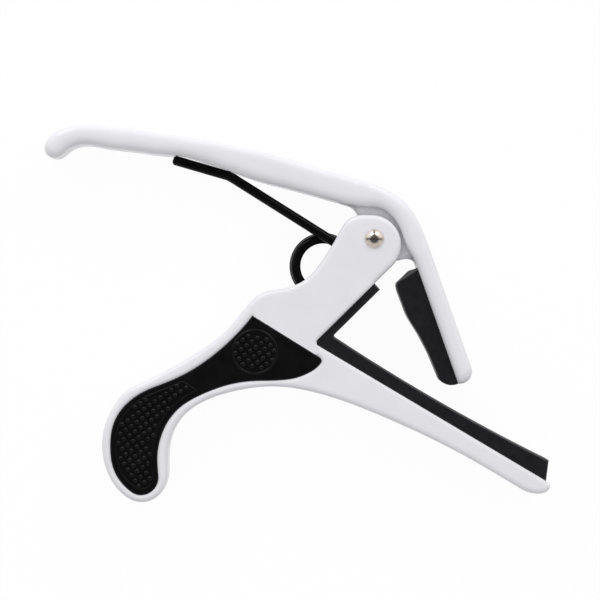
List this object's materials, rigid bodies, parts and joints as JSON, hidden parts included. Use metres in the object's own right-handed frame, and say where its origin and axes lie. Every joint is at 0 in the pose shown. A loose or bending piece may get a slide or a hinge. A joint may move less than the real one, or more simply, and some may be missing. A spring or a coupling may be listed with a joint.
{
  "type": "guitar capo",
  "caption": "Spring capo for a guitar neck: squeezing two handles swings a padded arm away from a rubber-faced bar that holds the strings down.",
  "frame": {"origin": "centre of the footprint on the surface that the capo lies on, on its side; Z = 0 is the lower rivet head", "axes": "+X runs along the capo's longer extent, from the handles to the jaw's open end; +Y from the string bar up to the squeeze handle; +Z along the pivot rivet"},
  "size_m": [0.114, 0.0851, 0.0158],
  "materials": {
    "white_paint": "gloss",
    "rivet": "polished",
    "wire": "gloss",
    "rubber": "matt",
    "grip": "satin, moulded with small bumps"
  },
  "bodies": {
    "frame": {"frame": "white_paint", "pivot_rivet": "rivet", "spring_anchor": "wire", "string_pad": "rubber", "grip_front": "grip", "grip_back": "grip"},
    "lever": {"lever": "white_paint", "neck_pad": "rubber"},
    "spring": {"torsion_spring": "wire"}
  },
  "joints": [
    {"name": "lever_pivot", "type": "hinge", "parent": "frame", "child": "lever", "pos_m": [0.01733, 0.01676, 0.0079], "axis": [0, 0, 1], "range_deg": [0, 28], "stiffness_Nm_per_rad": 1.5, "springref_deg": -20.05},
    {"name": "spring_turn", "type": "hinge", "parent": "frame", "child": "spring", "pos_m": [0.00583, 0.01059, 0.0079], "axis": [0, 0, 1], "range_deg": [0, 39.5]}
  ],
  "couplings": [
    {"joint": "spring_turn", "follows": "lever_pivot", "ratio": 1.4}
  ]
}
